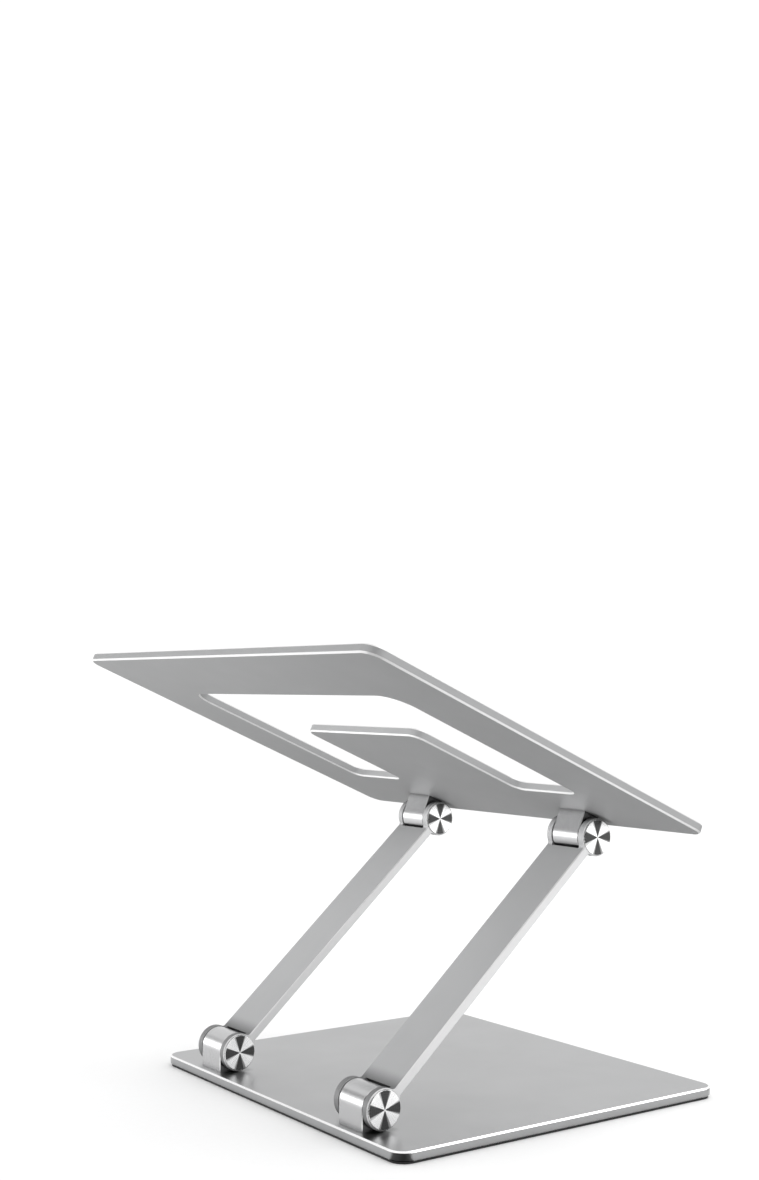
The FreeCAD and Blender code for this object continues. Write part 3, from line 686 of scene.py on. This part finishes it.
def spun_metal_with_painted_rays(name, finishes, middle):
    """Face-turned bright metal with fine rings round a middle on the X axis through it, and painted reflection:
    four bright and four dark rays from that middle are painted on its flat face.
    """
    material, g, shader = new_material(name)
    place = object_place(g)
    spot = g.add("ShaderNodeSeparateXYZ", {0: place}).outputs
    across = g.math("SUBTRACT", spot["Y"], middle.y)
    above = g.math("SUBTRACT", spot["Z"], middle.z)
    turn = g.math("ARCTAN2", above, across)
    squares = g.math("ADD", g.math("MULTIPLY", across, across), g.math("MULTIPLY", above, above))
    radius = g.math("SQRT", squares)
    ring_place = g.add("ShaderNodeCombineXYZ", {"X": g.math("MULTIPLY", radius, 1 / MM)})
    rings = noise(g, ring_place.outputs[0], 1 / RINGS_PER_MM, detail=3.0)
    ray_place = g.add("ShaderNodeCombineXYZ", {"X": g.math("COSINE", turn), "Y": g.math("SINE", turn),
                                               "Z": g.math("MULTIPLY", rings, 0.05)})
    streaks = noise(g, ray_place.outputs[0], 1 / STREAK_SCALE, detail=3.0)
    # Painted reflection: pairs of bright and dark rays, as a spun face mirrors the studio, are painted into the
    # colour.
    painted_ray_wedges = g.math("COSINE", g.math("MULTIPLY", turn, PAINTED_RAY_PAIRS))
    wave = g.math("ADD", painted_ray_wedges, ranged(g, streaks, 0.3, 0.7, -0.22, 0.22))
    flat = leaning(g, X_AXIS, HEAD_FACE_LEAN)
    dark = g.math("MULTIPLY", ranged(g, wave, -0.2, 0.4, 0.0, 1.0), flat)
    bright = tinted(g, finishes.turned, ranged(g, rings, 0.3, 0.7, 0.97, 1.0))
    deep = tinted(g, finishes.painted_ray_shade, ranged(g, rings, 0.25, 0.75, 0.6, 1.7))
    g.feed(shader.inputs["Base Color"], blended(g, dark, bright, deep))
    g.feed(shader.inputs["Roughness"], ranged(g, streaks, 0.3, 0.7, 0.24, 0.30))
    shader.inputs["Metallic"].default_value = 1.0
    shader.inputs["Anisotropic"].default_value = 0.75
    tangent = g.add("ShaderNodeTangent", direction_type="RADIAL", axis="X")
    g.feed(shader.inputs["Tangent"], tangent.outputs[0])
    return material


def rubbery(name, colour, roughness, pebble):
    """Matt rubber or silicone with a fine pebbled skin."""
    material, g, shader = new_material(name)
    place = object_place(g)
    skin = noise(g, place, pebble, detail=3.0, roughness=0.6)
    bloom = noise(g, place, 9 * MM, detail=3.0)
    g.feed(shader.inputs["Base Color"], tinted(g, colour, ranged(g, bloom, 0.3, 0.75, 0.9, 1.25)))
    g.feed(shader.inputs["Roughness"], g.math("ADD", ranged(g, skin, 0.3, 0.7, -0.04, 0.05), roughness))
    g.feed(shader.inputs["Normal"], bumped(g, skin, PEBBLE_HEIGHT))
    shader.inputs["Specular IOR Level"].default_value = 0.35
    return material


def plated_steel(name, finishes):
    """Plated screw steel with faint turning and handling marks."""
    material, g, shader = new_material(name)
    place = object_place(g)
    scuff = noise(g, place, 0.8 * MM, detail=4.0, roughness=0.6)
    g.feed(shader.inputs["Base Color"], tinted(g, finishes.steel, ranged(g, scuff, 0.3, 0.7, 0.9, 1.08)))
    g.feed(shader.inputs["Roughness"], ranged(g, scuff, 0.3, 0.7, 0.24, 0.36))
    shader.inputs["Metallic"].default_value = 1.0
    return material


def washer_plastic(name, finishes):
    """Dark self-lubricating plastic."""
    material, g, shader = new_material(name)
    flow = noise(g, object_place(g), 1.5 * MM, detail=3.0)
    g.feed(shader.inputs["Base Color"], tinted(g, finishes.nylon, ranged(g, flow, 0.3, 0.7, 0.85, 1.15)))
    g.feed(shader.inputs["Roughness"], ranged(g, flow, 0.3, 0.7, 0.48, 0.58))
    return material


def material(name):
    """One of the stand's finishes, made when it is first asked for."""
    known = bpy.data.materials.get(name)
    if known:
        return known
    finishes = bpy.context.scene.stand_finishes
    makers = {
        "Blasted Base": lambda: blasted_aluminium(name, finishes, Z_AXIS, CHAMFER_LEAN, finishes.base),
        # The tray's darker tone paints shade on its underside.
        "Blasted Tray": lambda: blasted_aluminium(
            name, finishes, tuple(TRAY_NORMAL), CHAMFER_LEAN, finishes.tray, roughness=0.5, metallic=0.55,
            cut_colour=finishes.tray_edge, cut_roughness=0.3, cut_metallic=0.4),
        # The arms get painted shade round their lower hinge and in nooks within a wider reach.
        "Blasted Arm": lambda: blasted_aluminium(
            name, finishes, X_AXIS, ARM_SIDE_LEAN, finishes.arm, roughness=0.55, metallic=0.45,
            cut_colour=finishes.arm_edge, cut_roughness=0.3, nook_reach=10 * MM, root=LOWER_HINGE),
        # The knuckles' flat sides are darkened with painted shade.
        "Ground Knuckle": lambda: blasted_aluminium(
            name, finishes, X_AXIS, CHAMFER_LEAN, finishes.knuckle, roughness=0.26, painted_side_shade=0.3),
        "Blasted Hook": lambda: blasted_aluminium(name, finishes, X_AXIS, CHAMFER_LEAN),
        "Spun Metal Painted Rays Lower": lambda: spun_metal_with_painted_rays(name, finishes, LOWER_HINGE),
        "Spun Metal Painted Rays Upper": lambda: spun_metal_with_painted_rays(name, finishes, UPPER_HINGE),
        "Plated Steel": lambda: plated_steel(name, finishes),
        "Washer Plastic": lambda: washer_plastic(name, finishes),
        "Pad Silicone": lambda: rubbery(name, finishes.silicone, roughness=0.52, pebble=0.25 * MM),
        "Mat Rubber": lambda: rubbery(name, finishes.rubber, roughness=0.66, pebble=0.45 * MM),
    }
    return makers[name]()


def finish_node(node, name):
    """Gives a CAD node one of the finishes."""
    for slot in frame["nodes"][node].material_slots:
        slot.material = material(name)


# ---------------------------------------------------------------- pads
EDGE_STEPS = 6
CROWN_STEPS = 8
CROWN_REACH = 0.98


def rounded_outline(low, high, radius, steps):
    """Corners of a rounded rectangle in the XY plane, each as (middle, direction) so that it can be inset."""
    outline = []
    for quarter, (x, y) in enumerate(((high.x, high.y), (low.x, high.y), (low.x, low.y), (high.x, low.y))):
        middle = Vector((x - math.copysign(radius, x - (low.x + high.x) / 2),
                         y - math.copysign(radius, y - (low.y + high.y) / 2)))
        for step in range(steps + 1):
            turn = math.pi / 2 * (quarter + step / steps)
            outline.append((middle, Vector((math.cos(turn), math.sin(turn)))))
    return outline


def pad_mesh(name, low, high, radius, sizes, placed):
    """Crowned pad filling the box low..high in the frame placed, with rounded corners and upper edge."""
    outline = rounded_outline(low, high, radius, sizes.corner_steps)
    edge = sizes.edge_radius
    shoulder = high.z - sizes.crown
    rings = [(0.0, low.z), (0.0, shoulder - edge)]
    for step in range(1, EDGE_STEPS + 1):
        turn = math.pi / 2 * step / EDGE_STEPS
        rings.append((edge * (1 - math.cos(turn)), shoulder - edge * (1 - math.sin(turn))))
    inner = radius - edge
    for step in range(1, CROWN_STEPS + 1):
        reach = step / CROWN_STEPS
        rise = sizes.crown * (1 - (1 - reach) ** 2)
        rings.append((edge + inner * reach * CROWN_REACH, shoulder + rise))
    work = bmesh.new()
    loops = []
    for inset, z in rings:
        ring = [middle + direction * (radius - inset) for middle, direction in outline]
        loops.append([work.verts.new((point.x, point.y, z)) for point in ring])
    work.faces.new(reversed(loops[0]))
    for lower, upper in zip(loops, loops[1:]):
        for index in range(len(lower)):
            after = (index + 1) % len(lower)
            work.faces.new((lower[index], lower[after], upper[after], upper[index]))
    work.faces.new(loops[-1])
    mesh = bpy.data.meshes.new(name)
    work.to_mesh(mesh)
    work.free()
    mesh.transform(placed)
    return mesh


# ---------------------------------------------------------------- operators
RINGS_PER_GROOVE = 6


def settle(piece, body, slot, *nodes):
    """A finished piece rides on its body and stands for its CAD nodes, which it hides; slot is not used."""
    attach(piece, body)
    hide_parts(*nodes)


def head_values(sizes, level, face_x, end_x, radius, shank_radius):
    """Inputs that the two hinge trees share."""
    rings = int(radius / sizes.groove_pitch * RINGS_PER_GROOVE)
    return {
        "Face X": face_x, "End X": end_x, "Head Radius": radius, "Head Thickness": sizes.head_thickness,
        "Head Chamfer": sizes.head_chamfer, "Groove Pitch": sizes.groove_pitch,
        "Groove Depth": sizes.groove_depth, "Groove Rings": rings, "Shank Radius": shank_radius,
        "Segments": sizes.segments, "Material": material(f"Spun Metal Painted Rays {level.capitalize()}"),
    }


class STAND_OT_hinge_hardware(bpy.types.Operator):
    """Turns the pins and clamping screws of the hinges"""

    bl_idname = "stand.hinge_hardware"
    bl_label = "Hinge Pins and Screws"

    def execute(self, context):
        sizes = context.scene.stand_hardware
        band = lathe_band_tree()
        pin_tree = hinge_pin_tree(band)
        screw_tree = hinge_screw_tree(band)
        for side in SIDES:
            for level in LEVELS:
                self.add_pin(sizes, pin_tree, side, level)
                self.add_screw(sizes, screw_tree, side, level)
        return {"FINISHED"}

    def add_pin(self, sizes, tree, side, level):
        """One pin, its spun head facing -X."""
        node = f"{side}_{level}_pin"
        low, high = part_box(node)
        middle = Vector((arm_middle(side), HINGE_PLACE[level].y, HINGE_PLACE[level].z))
        values = head_values(sizes, level, low.x - middle.x, high.x - middle.x, (high.z - low.z) / 2,
                             sizes.pin_radius)
        values.update({
            "Dimple Radius": sizes.dimple_radius, "Dimple Depth": sizes.dimple_depth,
            "Bore Radius": sizes.pin_bore_radius, "Bore Depth": sizes.pin_bore_depth,
            "Turn": (0.0, 0.0, 0.0),
        })
        piece = grown_piece(f"{side}_{level}_hinge_pin", tree, [middle], values)
        settle(piece, f"{side}_arm", "turned_metal", node)

    def add_screw(self, sizes, tree, side, level):
        """One clamping screw, its head facing +X."""
        node = f"{side}_{level}_pin_screw"
        low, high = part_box(node)
        middle = Vector((arm_middle(side), HINGE_PLACE[level].y, HINGE_PLACE[level].z))
        values = head_values(sizes, level, middle.x - high.x, middle.x - low.x, (high.z - low.z) / 2,
                             sizes.screw_radius)
        values.update({
            "Socket Width": sizes.socket_width, "Socket Depth": sizes.socket_depth,
            "Turn": (0.0, 0.0, math.pi),
        })
        piece = grown_piece(f"{side}_{level}_hinge_screw", tree, [middle], values)
        settle(piece, f"{side}_arm", "turned_metal", node)


class STAND_OT_plate_screws(bpy.types.Operator):
    """Sets the countersunk screws that hold the knuckles"""

    bl_idname = "stand.plate_screws"
    bl_label = "Knuckle Screws"

    def execute(self, context):
        sizes = context.scene.stand_hardware
        tree = plate_screw_tree(lathe_band_tree())
        upward = Matrix.Rotation(-math.pi / 2, 4, "Y")
        downward = Matrix.Rotation(math.pi / 2, 4, "Y")
        self.add_screws(sizes, tree, "base_knuckle_screws", "base", Matrix.Identity(4), upward, head_up=False)
        self.add_screws(sizes, tree, "tray_knuckle_screws", "tray", TRAY_FRAME, downward, head_up=True)
        return {"FINISHED"}

    def add_screws(self, sizes, tree, node, body, placed, turn, head_up):
        """Four screws spread over the CAD group's box in the frame placed."""
        low, high = box_in(node, placed)
        head_radius = (high.y - low.y) / 2
        head_z = high.z if head_up else low.z
        middle_y = (low.y + high.y) / 2
        outer = high.x - head_radius
        knuckle = (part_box("base_knuckle_right")[0].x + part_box("base_knuckle_right")[1].x) / 2
        inner = 2 * knuckle - outer
        points = [placed @ Vector((x, middle_y, head_z)) for x in (-outer, -inner, inner, outer)]
        rotation = (placed.to_3x3() @ turn.to_3x3()).to_euler("XYZ")
        values = {
            "Head Radius": head_radius, "Cone Height": sizes.plate_screw_cone,
            "Shank Radius": sizes.plate_screw_radius, "Length": high.z - low.z,
            "Socket Width": sizes.plate_socket_width, "Socket Depth": sizes.plate_socket_depth,
            "Segments": sizes.segments // 2, "Turn": tuple(rotation), "Material": material("Plated Steel"),
        }
        piece = grown_piece(f"{body}_plate_screws", tree, points, values)
        settle(piece, body, "screw_steel", node)


class STAND_OT_pads(bpy.types.Operator):
    """Moulds the silicone pads on the tray and hooks"""

    bl_idname = "stand.pads"
    bl_label = "Silicone Pads"

    def execute(self, context):
        sizes = context.scene.stand_pads
        hook_turn = TRAY_FRAME @ Matrix.Rotation(-math.pi / 2, 4, "X")
        for side in SIDES:
            self.add_pad(sizes, f"tray_pad_{side}", f"side_pad_{side}", sizes.strip_corner, TRAY_FRAME)
            self.add_pad(sizes, f"hook_pad_{side}", f"stop_pad_{side}", sizes.hook_corner, hook_turn)
        return {"FINISHED"}

    def add_pad(self, sizes, node, name, corner, placed):
        """One pad that fills its CAD node's box in the frame placed."""
        low, high = box_in(node, placed)
        mesh = pad_mesh(name, low, high, corner, sizes, placed)
        mesh.materials.append(material("Pad Silicone"))
        piece = mesh_piece(name, mesh, math.radians(50))
        settle(piece, "tray", "silicone", node)


class STAND_OT_finish_metal(bpy.types.Operator):
    """Gives the plates, arms, knuckles, hooks, mat, springs and washers their finishes"""

    bl_idname = "stand.finish_metal"
    bl_label = "Metal and Rubber Finishes"

    def execute(self, context):
        finish_node("base_plate", "Blasted Base")
        finish_node("base_mat", "Mat Rubber")
        finish_node("tray_plate", "Blasted Tray")
        for side in SIDES:
            finish_node(f"{side}_arm", "Blasted Arm")
            finish_node(f"base_knuckle_{side}", "Ground Knuckle")
            finish_node(f"tray_knuckle_{side}", "Ground Knuckle")
            finish_node(f"front_hook_{side}", "Blasted Hook")
            for level in LEVELS:
                finish_node(f"{side}_{level}_disc_springs", "Plated Steel")
                finish_node(f"{side}_{level}_friction_washers", "Washer Plastic")
        return {"FINISHED"}


SENSOR_WIDTH = 36.0
SOFTBOX_AIM = Vector((0, 0, 0.1))
FILL_OFFSET = Vector((0, 0.67, -0.02))
FILL_RADIUS = 0.12
FILL_SPREAD = math.radians(16)
FLAG_DISTANCE = 1.45
FLAG_LIFT = 0.001


def add_softbox(name, place, width, height, power):
    """Area light at place that faces the stand and isn't itself in the picture."""
    light = bpy.data.lights.new(name, "AREA")
    light.shape = "RECTANGLE"
    light.size = width
    light.size_y = height
    light.energy = power
    lamp = bpy.data.objects.new(name, light)
    lamp.location = place
    lamp.rotation_euler = (SOFTBOX_AIM - Vector(place)).to_track_quat("-Z", "Y").to_euler()
    lamp.visible_camera = False
    bpy.context.scene.collection.objects.link(lamp)


def add_fill(name, place, aim, power):
    """Soft spot that lights an arm's matt finish under the tray and isn't mirrored in the metal."""
    light = bpy.data.lights.new(name, "SPOT")
    light.energy = power
    light.shadow_soft_size = FILL_RADIUS
    light.spot_size = FILL_SPREAD
    light.spot_blend = 1.0
    lamp = bpy.data.objects.new(name, light)
    lamp.location = place
    lamp.rotation_euler = (aim - place).to_track_quat("-Z", "Y").to_euler()
    lamp.visible_camera = False
    lamp.visible_glossy = False
    bpy.context.scene.collection.objects.link(lamp)


def add_sheet(name, corners, finish):
    """Flat staged sheet with these corners."""
    mesh = bpy.data.meshes.new(name)
    mesh.from_pydata(corners, [], [tuple(range(len(corners)))])
    mesh.materials.append(finish)
    sheet = bpy.data.objects.new(name, mesh)
    bpy.context.scene.collection.objects.link(sheet)
    return sheet


class STAND_OT_stage(bpy.types.Operator):
    """Sets the floor, the lights and the camera"""

    bl_idname = "stand.stage"
    bl_label = "Studio"

    def execute(self, context):
        stage = context.scene.stand_stage
        self.add_floor(stage)
        self.add_flags()
        self.add_sky(stage)
        add_softbox("top_softbox", (-0.38, -0.93, 1.35), 1.2, 1.2, stage.top_power)
        add_softbox("side_softbox", (-1.3, -0.93, 0.40), 1.4, 0.7, stage.side_power)
        add_softbox("strip_light", (1.18, 0.92, 0.20), 1.2, 0.35, stage.strip_power)
        for side in SIDES:
            aim = Vector((arm_middle(side), UPPER_HINGE.y, UPPER_HINGE.z))
            add_fill(f"fill_spot_{side}", aim + FILL_OFFSET, aim, stage.fill_power)
        self.add_camera(stage)
        context.scene.view_settings.view_transform = "Standard"
        return {"FINISHED"}

    def add_floor(self, stage):
        """Pale floor that the sky and the softboxes light evenly."""
        half = stage.floor_size / 2
        paper, g, shader = new_material("Pale Paper")
        fibre = noise(g, object_place(g), 3 * MM, detail=2.0)
        g.feed(shader.inputs["Base Color"], tinted(g, stage.paper, ranged(g, fibre, 0.3, 0.7, 0.995, 1.005)))
        shader.inputs["Roughness"].default_value = 0.9
        shader.inputs["Specular IOR Level"].default_value = 0.1
        add_sheet("floor", [(-half, -half, 0), (half, -half, 0), (half, half, 0), (-half, half, 0)], paper)

    def add_flags(self):
        """Dark flags that only the metal reflects: they tone the tray's underside and line the corners."""
        black = self.felt("Black Felt", 0.02)
        grey = self.felt("Grey Felt", 0.38)
        self.add_flag("camera_flag", self.upright(heading=145, width=1.0, low=0.0, high=1.3), black)
        self.add_flag("leg_flag", self.upright(heading=43, width=1.1, low=0.56, high=0.96), grey)
        near_corner = [(-0.1165, 0.095), (-0.9, 0.12), (-0.9, 0.9), (0, 0.9), (-0.1075, 0.104)]
        self.add_flag("corner_flag", [(x, y, FLAG_LIFT) for x, y in near_corner], black)
        front, right = -0.112, 0.125
        beside = [(-0.25, -1.6), (2, -1.6), (2, 0.05), (right, 0.05), (right, front), (-0.25, front)]
        self.add_flag("under_flag", [(x, y, FLAG_LIFT) for x, y in beside], grey)

    def upright(self, heading, width, low, high):
        """Corners of an upright sheet that faces the stand from a heading in degrees from +X."""
        turn = math.radians(heading)
        middle = Vector((math.cos(turn), math.sin(turn), 0)) * FLAG_DISTANCE
        half = Vector((-math.sin(turn), math.cos(turn), 0)) * width / 2
        bottom, top = Vector((0, 0, low)), Vector((0, 0, high))
        return [middle - half + bottom, middle + half + bottom, middle + half + top, middle - half + top]

    def felt(self, name, tone):
        """Matt cloth of one grey."""
        felt, _, shader = new_material(name)
        shader.inputs["Base Color"].default_value = (tone, tone, tone, 1.0)
        shader.inputs["Roughness"].default_value = 0.95
        shader.inputs["Specular IOR Level"].default_value = 0.1
        return felt

    def add_flag(self, name, corners, finish):
        """Sheet that neither the camera nor matt surfaces see."""
        flag = add_sheet(name, corners, finish)
        flag.visible_camera = False
        flag.visible_diffuse = False
        flag.visible_shadow = False

    def add_sky(self, stage):
        """Even white light from all round."""
        world = bpy.data.worlds.new("Studio")
        world.use_nodes = True
        background = world.node_tree.nodes["Background"]
        background.inputs["Color"].default_value = (1, 1, 1, 1)
        background.inputs["Strength"].default_value = stage.sky_strength
        bpy.context.scene.world = world

    def add_camera(self, stage):
        """Camera behind the stand, to its left."""
        data = bpy.data.cameras.new("camera")
        data.lens = stage.lens
        data.sensor_width = SENSOR_WIDTH
        camera = bpy.data.objects.new("camera", data)
        camera.location = stage.camera_place
        pitch = math.pi / 2 + stage.camera_rise
        camera.rotation_euler = Euler((pitch, 0, stage.camera_heading - math.pi / 2), "XYZ")
        bpy.context.scene.collection.objects.link(camera)
        bpy.context.scene.camera = camera


OPERATORS = (
    STAND_OT_stage, STAND_OT_finish_metal, STAND_OT_hinge_hardware, STAND_OT_plate_screws, STAND_OT_pads,
)


class STAND_PT_panel(bpy.types.Panel):
    """Lists the stand's operators and sizes"""

    bl_idname = "STAND_PT_panel"
    bl_label = "Laptop Stand"
    bl_space_type = "VIEW_3D"
    bl_region_type = "UI"
    bl_category = "Stand"

    def draw(self, context):
        for operator in OPERATORS:
            self.layout.operator(operator.bl_idname)
        for group in (context.scene.stand_hardware, context.scene.stand_pads, context.scene.stand_finishes,
                      context.scene.stand_stage):
            box = self.layout.box()
            for name in group.bl_rna.properties.keys():
                if name not in ("rna_type", "name"):
                    box.prop(group, name)


GROUPS = {
    "stand_hardware": StandHardwareSizes, "stand_pads": StandPadSizes, "stand_finishes": StandFinishes,
    "stand_stage": StandStage,
}


def register():
    """Registers the add-on's classes and puts its settings on the scene."""
    for name, group in GROUPS.items():
        bpy.utils.register_class(group)
        setattr(bpy.types.Scene, name, PointerProperty(type=group))
    for cls in (*OPERATORS, STAND_PT_panel):
        bpy.utils.register_class(cls)


def unregister():
    """Takes the add-on's classes and settings away."""
    for cls in (STAND_PT_panel, *reversed(OPERATORS)):
        bpy.utils.unregister_class(cls)
    for name, group in GROUPS.items():
        delattr(bpy.types.Scene, name)
        bpy.utils.unregister_class(group)


def main():
    """Makes every piece, the finishes and the stage."""
    register()
    bpy.ops.stand.stage()
    bpy.ops.stand.finish_metal()
    bpy.ops.stand.hinge_hardware()
    bpy.ops.stand.plate_screws()
    bpy.ops.stand.pads()


if __name__ == "__main__":
    main()
